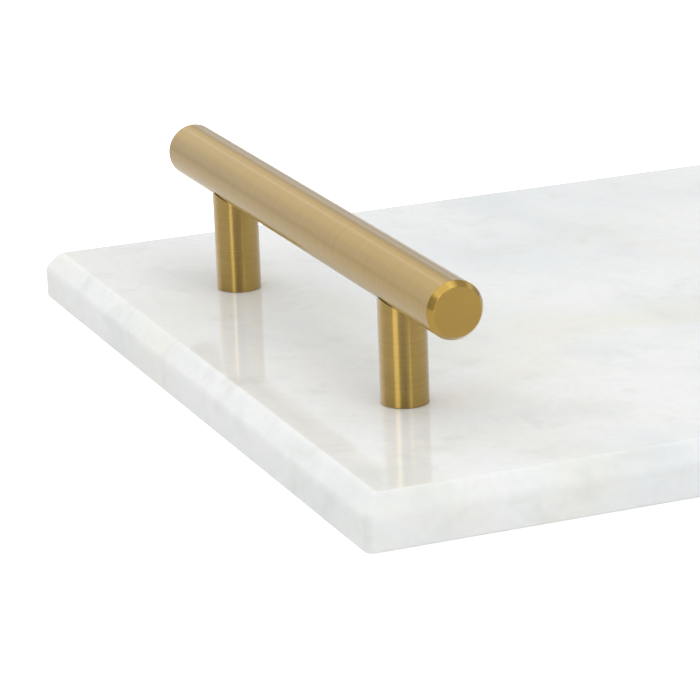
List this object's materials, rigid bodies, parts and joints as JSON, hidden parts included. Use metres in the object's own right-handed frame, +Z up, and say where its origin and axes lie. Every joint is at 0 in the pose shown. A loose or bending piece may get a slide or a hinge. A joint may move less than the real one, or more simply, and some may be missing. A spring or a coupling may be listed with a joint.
{
  "type": "marble vanity tray with bar handles",
  "caption": "Flat bevelled marble tray with a round brass bar handle standing on two posts at each end, for holding bottles on a dresser.",
  "frame": {"origin": "on the surface that the tray stands on, below the middle of the slab", "axes": "+X along the tray's long side, +Y along its short side, +Z up"},
  "size_m": [0.3, 0.2, 0.045],
  "materials": {
    "marble": "polished white marble with faint grey clouds, honed underneath",
    "brushed_brass": "satin, brushed round each bar and post",
    "zinc_plated_steel": "bright zinc plate",
    "black_oxide_steel": "black oxide",
    "clear_silicone": "milky soft silicone"
  },
  "bodies": {
    "root": {"marble_slab": "marble", "left_grip_bar": "brushed_brass", "left_front_post": "brushed_brass", "left_front_bar_stud": "black_oxide_steel", "left_front_mounting_screw": "zinc_plated_steel", "left_front_washer": "zinc_plated_steel", "left_front_foot": "clear_silicone", "left_back_post": "brushed_brass", "left_back_bar_stud": "black_oxide_steel", "left_back_mounting_screw": "zinc_plated_steel", "left_back_washer": "zinc_plated_steel", "left_back_foot": "clear_silicone", "right_grip_bar": "brushed_brass", "right_front_post": "brushed_brass", "right_front_bar_stud": "black_oxide_steel", "right_front_mounting_screw": "zinc_plated_steel", "right_front_washer": "zinc_plated_steel", "right_front_foot": "clear_silicone", "right_back_post": "brushed_brass", "right_back_bar_stud": "black_oxide_steel", "right_back_mounting_screw": "zinc_plated_steel", "right_back_washer": "zinc_plated_steel", "right_back_foot": "clear_silicone"}
  },
  "joints": []
}
